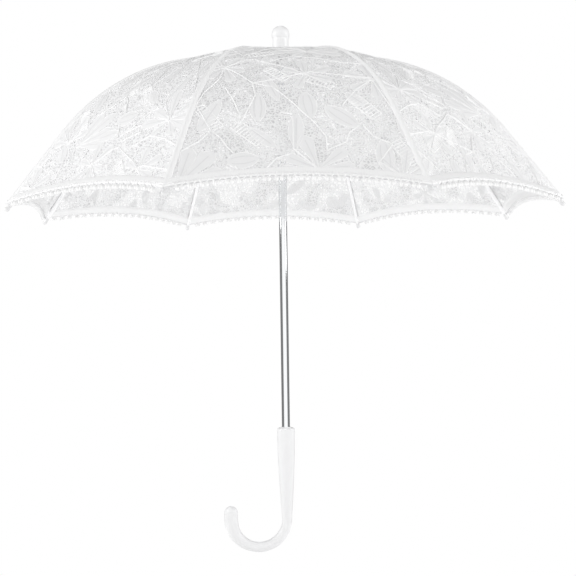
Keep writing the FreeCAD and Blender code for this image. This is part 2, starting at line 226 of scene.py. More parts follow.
def threads(tree, vector, period, direction):
    """A fine twill of threads across the given direction, 0 to 1."""
    wave = add(tree, "ShaderNodeTexWave", wave_type="BANDS", bands_direction=direction)
    wave.inputs["Scale"].default_value = 1 / (period * WAVE_RATE) * FULL_TURN
    wave.inputs["Distortion"].default_value = 0.4
    tree.links.new(vector, wave.inputs["Vector"])
    return wave.outputs["Fac"]


def painted_glow(shader, strength):
    """Painted light: a faint white glow of the surface's own, though it is no lamp."""
    shader.inputs["Emission Color"].default_value = (1, 1, 1, 1)
    shader.inputs["Emission Strength"].default_value = strength


def net_material():
    """Knitted net ground: threads round irregular open holes, darkened towards the holes by painted
    shade. It is close and darker near the crown.
    """
    material, tree, shader = new_material("lace_net", (0.95, 0.95, 0.95), 0.75, Sheen_Weight=0.15)
    vector = uv_scaled(tree, 1.0)
    cells = add(tree, "ShaderNodeTexVoronoi", feature="DISTANCE_TO_EDGE")
    cells.inputs["Scale"].default_value = 1 / CELL
    cells.inputs["Randomness"].default_value = 0.8
    tree.links.new(vector, cells.inputs["Vector"])
    patch = noise(tree, vector, 30.0, 2.0)
    axes = add(tree, "ShaderNodeSeparateXYZ")
    tree.links.new(vector, axes.inputs[0])
    edge = cells.outputs["Distance"]
    width = ramp(tree, patch, 0.44, 0.68, THIN_THREAD, THICK_THREAD)
    crown = ramp(tree, axes.outputs[1], CLOSE_NET, OPEN_NET, CROWN_THREAD, 0.0)
    width = math_node(tree, "ADD", width, crown)
    solid = math_node(tree, "LESS_THAN", edge, width)
    soft = ramp(tree, edge, 0.02, 0.26, 1.0, 0.0)
    tree.links.new(solid, shader.inputs["Alpha"])
    # painted shade: the threads darken from the cell edges towards the holes, standing for the shaded
    # inside seen through them; the net is also darker near the crown
    tone = math_node(tree, "SUBTRACT", soft, math_node(tree, "MULTIPLY", crown, 0.4))
    tint(tree, shader, tone, (0.72, 0.72, 0.725), (0.985, 0.985, 0.99))
    bump(tree, shader, soft, 0.6, 0.0004)
    return material


def leaf_material():
    """Close-stitched leaf: fine threads across it, a soft sheen."""
    material, tree, shader = new_material("lace_leaf", (0.9, 0.9, 0.905), 0.5, Sheen_Weight=0.2)
    vector = uv_scaled(tree, 1.0)
    stitch = threads(tree, vector, 0.0007, "X")
    cloud = noise(tree, vector, 90.0, 3.0)
    tint(tree, shader, cloud, (0.94, 0.94, 0.945), (0.98, 0.98, 0.985))
    bump(tree, shader, math_node(tree, "ADD", stitch, cloud), 0.3, 0.0002)
    return material


def shade_strip_material():
    """Painted shade: darker strips down a leaf's pleat and under the braid, which stand for the soft
    shadow there.
    """
    material, tree, shader = new_material("lace_painted_shade", (0.76, 0.76, 0.765), 0.8)
    dashes = noise(tree, uv_scaled(tree, 1.0), 700.0, 2.0)
    tint(tree, shader, dashes, (0.84, 0.84, 0.845), (0.94, 0.94, 0.945))
    bump(tree, shader, dashes, 0.3, 0.0002)
    return material


def cord_material():
    """Twisted gimp cord that outlines the lace, with a faint painted glow."""
    material, tree, shader = new_material("lace_cord", (0.96, 0.96, 0.965), 0.45, Sheen_Weight=0.3)
    vector = object_coords(tree)
    twist = noise(tree, vector, 900.0, 1.0)
    tint(tree, shader, twist, (0.96, 0.96, 0.965), (0.995, 0.995, 0.995))
    bump(tree, shader, twist, 0.15, 0.0001)
    painted_glow(shader, CORD_PAINTED_GLOW)
    return material


def ribbon_material():
    """Satin of the hem ribbon and the seams: smooth, with a fine weave and small puckers, and a faint
    painted glow that stands for light through the satin.
    """
    material, tree, shader = new_material("satin_ribbon", (0.96, 0.96, 0.965), 0.3, Sheen_Weight=0.2)
    vector = uv_scaled(tree, 1.0)
    weave = threads(tree, vector, 0.0021, "X")
    pucker = noise(tree, vector, 120.0, 2.0)
    weave = math_node(tree, "MULTIPLY", weave, 0.6)
    both = math_node(tree, "ADD", weave, math_node(tree, "MULTIPLY", pucker, 0.5))
    tint(tree, shader, both, (0.92, 0.92, 0.925), (0.995, 0.995, 0.995))
    bump(tree, shader, both, 0.3, 0.0003)
    painted_glow(shader, RIBBON_PAINTED_GLOW)
    return material


def pompom_material():
    """Soft wound yarn."""
    material, tree, shader = new_material("pompom_yarn", (0.96, 0.96, 0.96), 0.8, Sheen_Weight=0.5)
    vector = object_coords(tree)
    yarn = noise(tree, vector, 1400.0, 3.0, 0.6)
    tint(tree, shader, yarn, (0.97, 0.97, 0.97), (1.0, 1.0, 1.0))
    bump(tree, shader, yarn, 0.2, 0.0002)
    return material


def plastic_material(name, tone):
    """White moulded plastic: glossy, with faint mould ripple."""
    material, tree, shader = new_material(name, (tone, tone, tone), 0.3, Coat_Weight=0.15)
    vector = object_coords(tree)
    ripple = noise(tree, vector, 60.0, 3.0)
    dark, light = tone - 0.01, tone + 0.01
    tint(tree, shader, ripple, (dark, dark, dark + 0.005), (light, light, light + 0.005))
    rough = ramp(tree, noise(tree, vector, 350.0, 2.0), 0.3, 0.7, 0.28, 0.36)
    tree.links.new(rough, shader.inputs["Roughness"])
    bump(tree, shader, ripple, 0.04, 0.0004)
    return material


def chrome_material():
    """Bright plated steel tube with faint drawing lines."""
    material, tree, shader = new_material("chrome_tube", (0.72, 0.73, 0.74), 0.12, Metallic=1.0)
    vector = object_coords(tree)
    mapping = add(tree, "ShaderNodeMapping")
    mapping.inputs["Scale"].default_value = (900.0, 900.0, 8.0)
    tree.links.new(vector, mapping.inputs["Vector"])
    lines = noise(tree, mapping.outputs["Vector"], 1.0, 2.0)
    rough = ramp(tree, lines, 0.3, 0.7, 0.05, 0.11)
    tree.links.new(rough, shader.inputs["Roughness"])
    tint(tree, shader, lines, (0.80, 0.81, 0.82), (0.88, 0.89, 0.9))
    bump(tree, shader, lines, 0.01, 0.0001)
    return material


def painted_rib_material():
    """White enamel on pressed steel, slightly uneven, with a painted glow that lifts the shade in its
    channel.
    """
    material, tree, shader = new_material("rib_enamel", (0.97, 0.97, 0.975), 0.4)
    vector = object_coords(tree)
    orange_peel = noise(tree, vector, 500.0, 2.0)
    tint(tree, shader, noise(tree, vector, 40.0, 3.0), (0.95, 0.95, 0.955), (0.985, 0.985, 0.99))
    bump(tree, shader, orange_peel, 0.1, 0.0002)
    painted_glow(shader, RIB_PAINTED_GLOW)
    return material


def bright_wire_material():
    """Plain steel wire, rivets and pins."""
    material, tree, shader = new_material("bright_wire", (0.62, 0.62, 0.63), 0.3, Metallic=1.0)
    vector = object_coords(tree)
    grime = noise(tree, vector, 300.0, 3.0)
    tint(tree, shader, grime, (0.5, 0.5, 0.51), (0.7, 0.7, 0.71))
    rough = ramp(tree, grime, 0.3, 0.7, 0.22, 0.42)
    tree.links.new(rough, shader.inputs["Roughness"])
    return material


NET = net_material()
LEAF = leaf_material()
SHADE_STRIP = shade_strip_material()
CORD = cord_material()
SATIN = ribbon_material()
YARN = pompom_material()
# both are one white plastic: the handle's tone is lowered as painted shade against the floor's glow from
# below, and the ferrule's is kept higher, so the two are shaded and lit copies
SHADED_PLASTIC = plastic_material("white_plastic", 0.865)
LIT_PLASTIC = plastic_material("ferrule_plastic_lit", 0.955)
CHROME = chrome_material()
ENAMEL = painted_rib_material()
WIRE = bright_wire_material()


# ================================================================ camera, light and floor

# ---- camera: its distance from the shaft, its height, its turn round the shaft, its shift and its roll
SHAFT_TO_CAMERA = 1.136
CAMERA_HEIGHT = 0.180
CAMERA_AZIMUTH = math.radians(-3.0)
CAMERA_ASIDE = 0.0040
CAMERA_ROLL = math.radians(0.8)
LENS = 70.9
SENSOR = 36.0

# ---- the world's brightness by direction, and the bright and dark bands that polished metal mirrors
FRONT_LIGHT = 1.06
SIDE_LIGHT = 1.13
BACK_LIGHT = 0.10
TOP_SHARE = 0.20
BELOW_SHARE = 0.90
MIRROR_EDGE = 0.42
MIRROR_SOFT = 0.12
MIRROR_BRIGHT = 1.15
MIRROR_DARK = 0.22

# ---- floor: its place and size, and its own light at its middle and at its rim
FLOOR_Z = -0.60
FLOOR_R = 1.8
FLOOR_GLOW = 0.12
RIM_GLOW = 0.45

# ---- softboxes: size, aim, place, and power in watts
SOFTBOX_SIZE = (0.7, 1.2)
SOFTBOX_AIM = (0, 0, 0.3)
LEFT_PLACE = (-1.6, -0.3, 0.9)
LEFT_POWER = 10
RIGHT_PLACE = (1.6, -0.5, 0.8)
RIGHT_POWER = 8


def make_camera():
    """A level camera in front of the object, with a slight roll."""
    data = bpy.data.cameras.new("camera")
    data.lens = LENS
    data.sensor_width = SENSOR
    data.clip_start = 0.05
    camera = bpy.data.objects.new("camera", data)
    bpy.context.scene.collection.objects.link(camera)
    back = Vector((math.sin(CAMERA_AZIMUTH), -math.cos(CAMERA_AZIMUTH), 0))
    right = Vector((math.cos(CAMERA_AZIMUTH), math.sin(CAMERA_AZIMUTH), 0))
    camera.location = back * SHAFT_TO_CAMERA + right * CAMERA_ASIDE + Vector((0, 0, CAMERA_HEIGHT))
    turn = (-back).to_track_quat("-Z", "Y").to_matrix() @ Matrix.Rotation(-CAMERA_ROLL, 3, "Z")
    camera.rotation_euler = turn.to_euler()
    bpy.context.scene.camera = camera


def area_light(name, place, power):
    """A softbox that faces SOFTBOX_AIM."""
    data = bpy.data.lights.new(name, "AREA")
    data.shape = "RECTANGLE"
    data.size, data.size_y = SOFTBOX_SIZE
    data.energy = power
    light = bpy.data.objects.new(name, data)
    bpy.context.scene.collection.objects.link(light)
    light.location = place
    light.rotation_euler = (Vector(SOFTBOX_AIM) - Vector(place)).to_track_quat("-Z", "Y").to_euler()


def make_world():
    """White behind the object. The light is brighter from the sides and back than from above, and what
    polished metal mirrors is bright in front and dark at the sides, as between two flags."""
    world = bpy.data.worlds.new("studio")
    bpy.context.scene.world = world
    world.use_nodes = True
    tree = world.node_tree
    background = tree.nodes["Background"]
    background.inputs["Strength"].default_value = 1.0
    axes = add(tree, "ShaderNodeSeparateXYZ")
    tree.links.new(add(tree, "ShaderNodeTexCoord").outputs["Generated"], axes.inputs[0])
    x, y, z = axes.outputs
    side = math_node(tree, "ABSOLUTE", x)
    soft = ramp(tree, side, 0.2, 0.95, FRONT_LIGHT, SIDE_LIGHT)
    behind = ramp(tree, y, -0.1, 0.9, 0.0, BACK_LIGHT)
    soft = math_node(tree, "ADD", soft, behind)
    above = ramp(tree, z, 0.15, 0.9, 1.0, TOP_SHARE)
    below = ramp(tree, z, -0.6, -0.1, BELOW_SHARE, 1.0)
    soft = math_node(tree, "MULTIPLY", math_node(tree, "MULTIPLY", soft, above), below)
    turn = math_node(tree, "DIVIDE", side, math_node(tree, "SUBTRACT", 1.001, y))
    mirrored = ramp(tree, turn, MIRROR_EDGE, MIRROR_EDGE + MIRROR_SOFT, MIRROR_BRIGHT, MIRROR_DARK)
    path = add(tree, "ShaderNodeLightPath")
    light = add(tree, "ShaderNodeMix", data_type="FLOAT")
    tree.links.new(path.outputs["Is Glossy Ray"], light.inputs["Factor"])
    tree.links.new(soft, light.inputs[FLOAT_A])
    tree.links.new(mirrored, light.inputs[FLOAT_B])
    seen = add(tree, "ShaderNodeMix", data_type="FLOAT")
    tree.links.new(path.outputs["Is Camera Ray"], seen.inputs["Factor"])
    tree.links.new(light.outputs[FLOAT_OUT], seen.inputs[FLOAT_A])
    seen.inputs[FLOAT_B].default_value = 1.0
    tree.links.new(seen.outputs[FLOAT_OUT], background.inputs["Color"])


def make_floor():
    """A pale round floor, well below the object, that fades into white at its rim."""
    bm = bmesh.new()
    bmesh.ops.create_circle(bm, cap_ends=True, radius=FLOOR_R, segments=96)
    mesh = bpy.data.meshes.new("floor")
    bm.to_mesh(mesh)
    bm.free()
    floor = bpy.data.objects.new("floor", mesh)
    floor.location.z = FLOOR_Z
    bpy.context.scene.collection.objects.link(floor)
    material, tree, shader = new_material("floor", (0.96, 0.96, 0.96), 0.9)
    reach = add(tree, "ShaderNodeVectorMath", operation="LENGTH")
    tree.links.new(object_coords(tree), reach.inputs[0])
    fade = ramp(tree, reach.outputs["Value"], 0.3 * FLOOR_R, 0.95 * FLOOR_R, FLOOR_GLOW, RIM_GLOW)
    tree.links.new(fade, shader.inputs["Emission Strength"])
    shader.inputs["Emission Color"].default_value = (1, 1, 1, 1)
    mesh.materials.append(material)


def make_studio():
    """The light and the floor, shown in plain colours."""
    bpy.context.scene.view_settings.view_transform = "Standard"
    make_world()
    area_light("left_softbox", LEFT_PLACE, LEFT_POWER)
    area_light("right_softbox", RIGHT_PLACE, RIGHT_POWER)
    make_floor()


make_camera()
make_studio()


# ================================================================ the canopy's surface

def line_at(run):
    """Radius, height and slope of the canopy's line over a rib, at arc lengths run from the crown."""
    run = np.asarray(run, float)
    in_bend = np.clip(run - FIRST_RUN, 0, BEND_RUN)
    slope = FIRST_SLOPE + in_bend / BEND_R
    first = np.minimum(run, FIRST_RUN)
    last = np.clip(run - FIRST_RUN - BEND_RUN, 0, None)
    radius = CROWN_R + first * math.cos(FIRST_SLOPE) + last * math.cos(LAST_SLOPE)
    radius = radius + BEND_R * (np.sin(slope) - math.sin(FIRST_SLOPE))
    height = CROWN_Z - first * math.sin(FIRST_SLOPE) - last * math.sin(LAST_SLOPE)
    height = height - BEND_R * (math.cos(FIRST_SLOPE) - np.cos(slope))
    return radius, height, slope


# MIDDLE_TABLE is the flat cloth's y: the length down a panel's middle
RUN_TABLE = np.linspace(0, RIB_RUN + 0.03, 1400)
RADIUS_TABLE, HEIGHT_TABLE = line_at(RUN_TABLE)[:2]
MIDDLE_TABLE = np.concatenate(
    [[0], np.cumsum(np.hypot(np.diff(RADIUS_TABLE) * math.cos(HALF_PITCH), np.diff(HEIGHT_TABLE)))]
)


def flat_y(run):
    """The length down a panel's middle at a run along the rib."""
    return np.interp(run, RUN_TABLE, MIDDLE_TABLE)


def run_at(y):
    """The run along the rib at a length down a panel's middle."""
    return np.interp(y, MIDDLE_TABLE, RUN_TABLE)


def half_width(y):
    """Half the flat panel's width at y."""
    return np.interp(y, MIDDLE_TABLE, RADIUS_TABLE) * math.sin(HALF_PITCH)


def wrap(points, azimuth):
    """Flat cloth points (x, y, off) in space, on the panel that has its middle at azimuth."""
    points = np.asarray(points, float).reshape(-1, 3)
    x, y, off = points.T
    run = run_at(y)
    radius, height, slope = line_at(run)
    out_r, out_z = np.sin(slope), np.cos(slope) * math.cos(HALF_PITCH)
    size = np.hypot(out_r, out_z)
    out_r, out_z = out_r / size, out_z / size
    lift = off - CLOTH_DROP
    reach = radius * math.cos(HALF_PITCH) + out_r * lift
    z = height + out_z * lift
    c, s = math.cos(azimuth), math.sin(azimuth)
    return np.stack([reach * c - x * s, reach * s + x * c, z], axis=1)


HEM_RUN = RIB_RUN - HEM_SHORT
HEM_Y = float(flat_y(HEM_RUN))
HEM_HALF = float(half_width(HEM_Y))
HEM_SLOPE = math.atan2(math.sin(LAST_SLOPE), math.cos(LAST_SLOPE) * math.cos(HALF_PITCH))
HEM_RISE_FLAT = HEM_RISE / math.sin(HEM_SLOPE)
HEM_ARC_R = (HEM_HALF**2 + HEM_RISE_FLAT**2) / (2 * HEM_RISE_FLAT)
HEM_ARC_Y = HEM_Y - HEM_RISE_FLAT + HEM_ARC_R
HEM_LENGTH = HEM_ARC_R * math.asin(HEM_HALF / HEM_ARC_R)


def hem_y(x, out=0.0):
    """The hem's y at x, moved out of the cloth by out."""
    return HEM_ARC_Y - np.sqrt((HEM_ARC_R - out) ** 2 - np.asarray(x, float) ** 2)


# ================================================================ flat drawing of one panel

# the lace's repeat, in millimetres of flat cloth: x from a panel's middle, y down from the crown.
# LINES are gimp lines, STARS are a centre and the tips of the fans round it, and LEAVES and LADDERS
# are two ends and a width
TILE = (196, 166)
LINES = (
    ((-56, 166), (-41, 152), (-31, 149), (-19, 157), (0, 168), (12, 178), (30, 194)),
    ((-56, 166), (-43, 179), (-33, 192), (-31, 207), (-34, 216), (-43, 239), (-48, 246)),
    ((-33, 192), (-17, 197), (-7, 209), (4, 224), (16, 240), (25, 256), (25, 271)),
    ((-56, 198), (-50, 212), (-45, 229)),
    ((-56, 166), (-61, 186), (-74, 206), (-80, 220)),
    ((-92, 271), (-78, 261), (-68, 249), (-60, 257), (-55, 267), (-50, 273)),
    ((-11, 229), (-1, 231), (-2, 269), (17, 291)),
    ((-49, 287), (-40, 305), (-28, 294), (-16, 279), (-6, 275)),
    ((44, 252), (55, 242), (63, 256), (78, 265)),
    ((68, 187), (54, 201), (41, 220)),
    ((68, 187), (75, 209), (81, 224), (98, 240)),
    ((-17, 153), (4, 141), (26, 147), (46, 157), (65, 160)),
    ((-33, 192), (-8, 184), (16, 174), (42, 180), (68, 185)),
    ((78, 265), (66, 284), (84, 300), (97, 290)),
    ((25, 271), (41, 262), (44, 252)),
    ((-80, 220), (-68, 249)),
)
STARS = (
    ((17, 291), ((6, 255), (-9, 277), (-15, 293), (5, 307), (30, 308), (47, 303), (46, 288), (40, 270))),
    ((-94, 306), ((-84, 268), (-66, 272), (-58, 292), (-60, 308))),
    ((-56, 166), ((-40, 146), (-39, 172), (-50, 190), (-72, 184), (-76, 160), (-62, 140))),
    ((68, 187), ((50, 202), (72, 214), (92, 198), (86, 172), (62, 160), (45, 176))),
    ((84, 300), ((66, 278), (90, 268), (104, 288), (64, 300))),
    ((12, 178), ((-6, 168), (10, 154), (34, 166), (34, 188), (4, 200))),
)
LEAVES = (
    ((-30, 240), (-29, 206), 14), ((10, 204), (14, 236), 15), ((26, 222), (52, 246), 16),
    ((-56, 283), (-30, 279), 17), ((2, 230), (0, 268), 13), ((70, 260), (72, 296), 15),
    ((-16, 268), (-38, 246), 11), ((-78, 250), (-60, 214), 13), ((86, 232), (96, 266), 12),
    ((-12, 216), (-24, 178), 10), ((-88, 196), (-94, 236), 13), ((60, 222), (44, 206), 10),
    ((-70, 302), (-44, 296), 12), ((92, 160), (80, 138), 11),
)
LADDERS = (
    ((-78, 222), (-62, 246), 10), ((80, 262), (95, 286), 10), ((-48, 242), (-28, 262), 11),
    ((50, 212), (68, 234), 11), ((12, 184), (34, 196), 9), ((-20, 168), (-4, 186), 9),
    ((-14, 296), (-34, 304), 9),
)
# panels are cut from one lace: 1 or -1 where a panel is mirrored, and its repeat's shift, in metres
CUTS = ((1, 0.047, -0.058), (1, 0.0, 0.0), (-1, -0.038, -0.094), (-1, 0.012, -0.021))

MM = 0.001

# ---- raised lace: what each part of the drawing is, in the order of LACE_MATERIALS. Veins are strips of painted shade
LEAF_KIND, CORD_KIND, SHADE_STRIP_KIND, SEAM_KIND = 0, 1, 2, 3
LACE_MATERIALS = [LEAF, CORD, SHADE_STRIP, SATIN]

# gimp cords: radii of lines, of leaves' outlines, of ladders' bars and sides and of stars' rings.
# CORD_RISE is a cord's height as a share of its radius
LINE_R = 0.00056
EDGE_R = 0.00033
BAR_R = 0.00045
RAIL_R = 0.0005
RING_R = 0.0006
CORD_RISE = 0.80
LINE_LIFT = 0.0002
BAR_PITCH = 0.0030
STAR_R = 0.002
RING_POINTS = 9

# leaves and fans: how they lie off the cloth, half the width of one that domes fully, and their veins,
# which are strips of painted shade.
# A fan's width is FAN_SHARE of its length and FAN_WIDTH more
LEAF_LIFT = 0.00014
LEAF_DOME = 0.00022
LEAF_FULL = 0.004
OUTLINE_LIFT = LEAF_LIFT * 0.6
VEIN_LIFT = 0.00007
VEIN_HALF = 0.00045
VEIN_SHARE = 0.16
LEAF_ROWS, LEAF_COLUMNS = 8, 5
WIDE_LEAF = 13
WIDE_LEAF_VEINS = (-0.45, 0.45)
FAN_WIDEST = 0.82
FAN_SHARE = 0.27
FAN_WIDTH = 0.0035

# where the drawing is cut: short of the ribs, and under the ribbon by the rest of its width
RIB_GAP = 0.0004
LACE_TOP = 0.004
OUTLINE_STEPS = 15
UNDER_RIBBON = 0.4 * RIBBON

# satin seams over the ribs: half width, its limit as a share of the panel, and the ridge over the rib
SEAM_HALF = 0.0036
SEAM_SHARE = 0.45
SEAM_SHORT = 0.002
SEAM_STEPS = 9
SEAM_RIDGE = ((-0.0001, 0.0012), (0.0006, 0.0010))


def along(path, step=0.007):
    """The path's points with more between them, so that it bends with the cloth."""
    path = np.asarray(path, float)
    found = [path[0]]
    for a, b in zip(path[:-1], path[1:]):
        count = max(1, int(math.ceil(np.hypot(*(b - a)) / step)))
        found += [a + (b - a) * (i + 1) / count for i in range(count)]
    return np.array(found)


class FlatMesh:
    """Vertices (x, y, off), faces and material numbers, gathered while drawing in the flat cloth."""

    def __init__(self):
        self.points = []
        self.faces = []
        self.kinds = []
        self.count = 0

    def grid(self, rows, kind):
        """Quads between rows of points."""
        rows = np.asarray(rows, float)
        n, m = rows.shape[:2]
        base = self.count
        self.points.append(rows.reshape(-1, 3))
        self.count += n * m
        for i in range(n - 1):
            for j in range(m - 1):
                a = base + i * m + j
                self.faces.append((a, a + 1, a + 1 + m, a + m))
                self.kinds.append(kind)

    def cord(self, path, radius, lift=0.0):
        """A raised cord laid on the cloth."""
        path = along(path)
        way = np.gradient(path, axis=0)
        way = way / np.maximum(np.linalg.norm(way, axis=1, keepdims=True), 1e-9)
        side = np.stack([-way[:, 1], way[:, 0]], axis=1) * radius
        low, high = np.full(len(path), lift), np.full(len(path), lift + CORD_RISE * radius)
        left, right = path - side, path + side
        rows = np.stack(
            [
                np.column_stack([left, low]),
                np.column_stack([path - side * 0.5, high]),
                np.column_stack([path + side * 0.5, high]),
                np.column_stack([right, low]),
            ],
            axis=1,
        )
        self.grid(rows, CORD_KIND)

    def blade(self, root, tip, width, shape, veins):
        """A leaf from root to tip. shape gives its half width along it, and veins are its pleats, drawn
        as strips of painted shade.
        """
        root, tip = np.asarray(root, float), np.asarray(tip, float)
        way = tip - root
        side = np.array([-way[1], way[0]]) / np.hypot(*way)
        share = np.linspace(0.02, 1, LEAF_ROWS)
        half = shape(share) * width / 2
        across = np.linspace(-1, 1, LEAF_COLUMNS)
        rows = []
        for u, h in zip(share, half):
            flat = root + way * u + np.outer(across * h, side)
            rise = LEAF_LIFT + LEAF_DOME * (1 - across**2) * min(1.0, h / LEAF_FULL)
            rows.append(np.column_stack([flat, rise]))
        self.grid(rows, LEAF_KIND)
        for at in veins:
            strip = []
            for u, h in zip(share[1:-1], half[1:-1]):
                middle = root + way * u + side * at * h
                wide = side * min(VEIN_HALF, VEIN_SHARE * h)
                rise = LEAF_LIFT + LEAF_DOME * (1 - at**2) * min(1.0, h / LEAF_FULL) + VEIN_LIFT
                strip.append([(*(middle - wide), rise), (*(middle + wide), rise)])
            self.grid(strip, SHADE_STRIP_KIND)
        for edge in (-1, 1):
            outline = [root + way * u + side * edge * h for u, h in zip(share, half)]
            self.cord(outline, EDGE_R, OUTLINE_LIFT)

    def ladder(self, start, end, width):
        """A window of bars between two gimp cords."""
        start, end = np.asarray(start, float), np.asarray(end, float)
        way = end - start
        length = np.hypot(*way)
        side = np.array([-way[1], way[0]]) / length * width / 2
        count = int(length / BAR_PITCH)
        for i in range(count + 1):
            middle = start + way * i / count
            self.cord([middle - side, middle + side], BAR_R)
        for edge in (-1, 1):
            self.cord([start + side * edge, end + side * edge], RAIL_R)


def wedge_shape(share):
    """A pleated fan's half width: narrow at its root, blunt at its far end."""
    beyond = (share - FAN_WIDEST) / (1 - FAN_WIDEST)
    return np.where(share < FAN_WIDEST, share / FAN_WIDEST, 1 - beyond**2 * 0.75)


def leaf_shape(share):
    """A leaf's half width: round in the middle and pointed at both ends."""
    return np.sin(np.clip(share, 0.03, 0.985) * math.pi) ** 0.65


def draw_tile(flat, offset, mirror):
    """One repeat of the lace, moved by offset and turned left to right where mirror is -1."""

    def at(point):
        """A point of the repeat, from millimetres to metres on the panel."""
        return (mirror * point[0] * MM + offset[0], point[1] * MM + offset[1])

    for centre, tips in STARS:
        for tip in tips:
            length = math.hypot(tip[0] - centre[0], tip[1] - centre[1]) * MM
            flat.blade(at(centre), at(tip), FAN_SHARE * length + FAN_WIDTH, wedge_shape, (0.0,))
        x, y = at(centre)
        turn = np.linspace(0, FULL_TURN, RING_POINTS)
        flat.cord([(x + STAR_R * math.cos(a), y + STAR_R * math.sin(a)) for a in turn], RING_R)
    for root, tip, width in LEAVES:
        veins = WIDE_LEAF_VEINS if width > WIDE_LEAF else (0.0,)
        flat.blade(at(root), at(tip), width * MM, leaf_shape, veins)
    for start, end, width in LADDERS:
        flat.ladder(at(start), at(end), width * MM)
    for line in LINES:
        flat.cord([at(p) for p in line], LINE_R, LINE_LIFT)


def draw_panel(mirror, shift_x, shift_y):
    """All the raised lace of one panel, flat, from the repeats that can reach it."""
    flat = FlatMesh()
    wide, tall = TILE[0] * MM, TILE[1] * MM
    for i in (-1, 0, 1):
        for j in (-1, 0, 1):
            x, y = shift_x + i * wide, shift_y + j * tall
            if abs(x) < wide and -2 * tall < y < tall:
                draw_tile(flat, (x, y), mirror)
    return flat


# ================================================================ cutting and wrapping

def clip_flat(flat):
    """The drawing as a bmesh, cut to the panel's outline, on the middle line and at the bands."""
    bm = bmesh.new()
    points = np.concatenate(flat.points)
    verts = [bm.verts.new(p) for p in points]
    for face, kind in zip(flat.faces, flat.kinds):
        made = bm.faces.new([verts[i] for i in face])
        made.material_index = kind
        made.smooth = True
    corners = [float(flat_y(r)) for r in np.linspace(LACE_TOP, HEM_RUN, OUTLINE_STEPS)]
    for low, high in zip(corners[:-1], corners[1:]):
        for side in (-1, 1):
            a = Vector((side * (float(half_width(low)) - RIB_GAP), low, 0))
            b = Vector((side * (float(half_width(high)) - RIB_GAP), high, 0))
            way = b - a
            normal = Vector((way.y, -way.x, 0)).normalized() * side
            cut(bm, a, normal, clear=True)
    cut(bm, Vector((0, corners[0], 0)), Vector((0, -1, 0)), clear=True)
    cut(bm, Vector((0, 0, 0)), Vector((1, 0, 0)))
    for run in BANDS[1:-1]:
        cut(bm, Vector((0, float(flat_y(run)), 0)), Vector((0, 1, 0)))
    gone = []
    for face in bm.faces:
        middle = face.calc_center_median()
        if middle.y > hem_y(middle.x) - UNDER_RIBBON:
            gone.append(face)
    bmesh.ops.delete(bm, geom=gone, context="FACES")
    return bm


def cut(bm, place, normal, clear=False):
    """Cut along a plane. What lies on its outer side goes, where clear is True."""
    geom = bm.verts[:] + bm.edges[:] + bm.faces[:]
    bmesh.ops.bisect_plane(bm, geom=geom, dist=1e-7, plane_co=place, plane_no=normal, clear_outer=clear)


def split_flat(bm):
    """The faces of each side and band: {(side, band): [(points, kind)]}."""
    band_y = [float(flat_y(r)) for r in BANDS]
    found = {}
    for face in bm.faces:
        middle = face.calc_center_median()
        side = 1 if middle.x > 0 else -1
        band = int(np.clip(np.searchsorted(band_y, middle.y) - 1, 0, len(BANDS) - 2))
        corners = [tuple(v.co) for v in face.verts]
        found.setdefault((side, band), []).append((corners, face.material_index))
    return found


def panel_azimuth(k):
    """Direction of the middle of the panel between rib k and rib k + 1, counted from 0."""
    return FIRST_RIB + PITCH * (k + 0.5)


def strip(rows, forward, kind):
    """Faces between rows of flat points. They face the other way where forward is False."""
    polygons = []
    for first, second in zip(rows[:-1], rows[1:]):
        for j in range(len(first) - 1):
            quad = (first[j], second[j], second[j + 1], first[j + 1])
            polygons.append((quad if forward else quad[::-1], kind))
    return polygons


def sleeve(rings, kind):
    """Faces round a row of rings of flat points."""
    polygons = []
    for first, second in zip(rings[:-1], rings[1:]):
        for j in range(len(first)):
            after = (j + 1) % len(first)
            polygons.append(((first[j], first[after], second[after], second[j]), kind))
    return polygons


def make_piece(name, parts, materials, body):
    """An object that rides on body, from flat faces: parts is [(azimuth, [(points, kind)])].
    The flat x and y are its UV map, in metres."""
    index = {}
    points, flats, faces, kinds = [], [], [], []
    for number, (azimuth, polygons) in enumerate(parts):
        start = len(flats)
        for corners, kind in polygons:
            face = []
            for p in corners:
                key = (number, round(p[0], 7), round(p[1], 7), round(p[2], 7))
                if key not in index:
                    index[key] = len(flats)
                    flats.append(p)
                face.append(index[key])
            face = list(dict.fromkeys(face))
            if len(face) > 2:
                faces.append(face)
                kinds.append(kind)
        if len(flats) > start:
            points.append(wrap(flats[start:], azimuth))
    mesh = bpy.data.meshes.new(name)
    mesh.from_pydata(np.concatenate(points).tolist(), [], faces)
    for material in materials:
        mesh.materials.append(material)
    mesh.polygons.foreach_set("material_index", kinds)
    mesh.polygons.foreach_set("use_smooth", [True] * len(faces))
    layer = mesh.uv_layers.new(name="cloth")
    corner = np.zeros(len(mesh.loops), int)
    mesh.loops.foreach_get("vertex_index", corner)
    layer.data.foreach_set("uv", np.array(flats)[corner][:, :2].ravel())
    mesh.validate()
    piece = bpy.data.objects.new(name, mesh)
    bpy.context.scene.collection.objects.link(piece)
    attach(piece, body)
    return piece


def gather(piece):
    """Gives the piece its own copy of its mesh."""
    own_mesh(piece)


# ================================================================ canopy pieces

def base_grid(side, low, high):
    """Half a panel's cloth between two runs, from its middle line to the rib."""
    last = high >= HEM_RUN
    top = float(flat_y(low))
    bottom = HEM_Y if last else float(flat_y(high))
    down = DOWN_AT_HEM if last else DOWN
    rows = []
    for i in range(down + 1):
        u = i / down
        row = []
        for j in range(ACROSS + 1):
            w = j / ACROSS
            y = top + (bottom - top) * u
            if last:
                x = w * float(half_width(y))
                y = top + (float(hem_y(min(x, HEM_HALF))) - top) * u
            row.append((side * w * float(half_width(y)), y, 0.0))
        rows.append(row)
    return strip(rows, side < 0, 0)


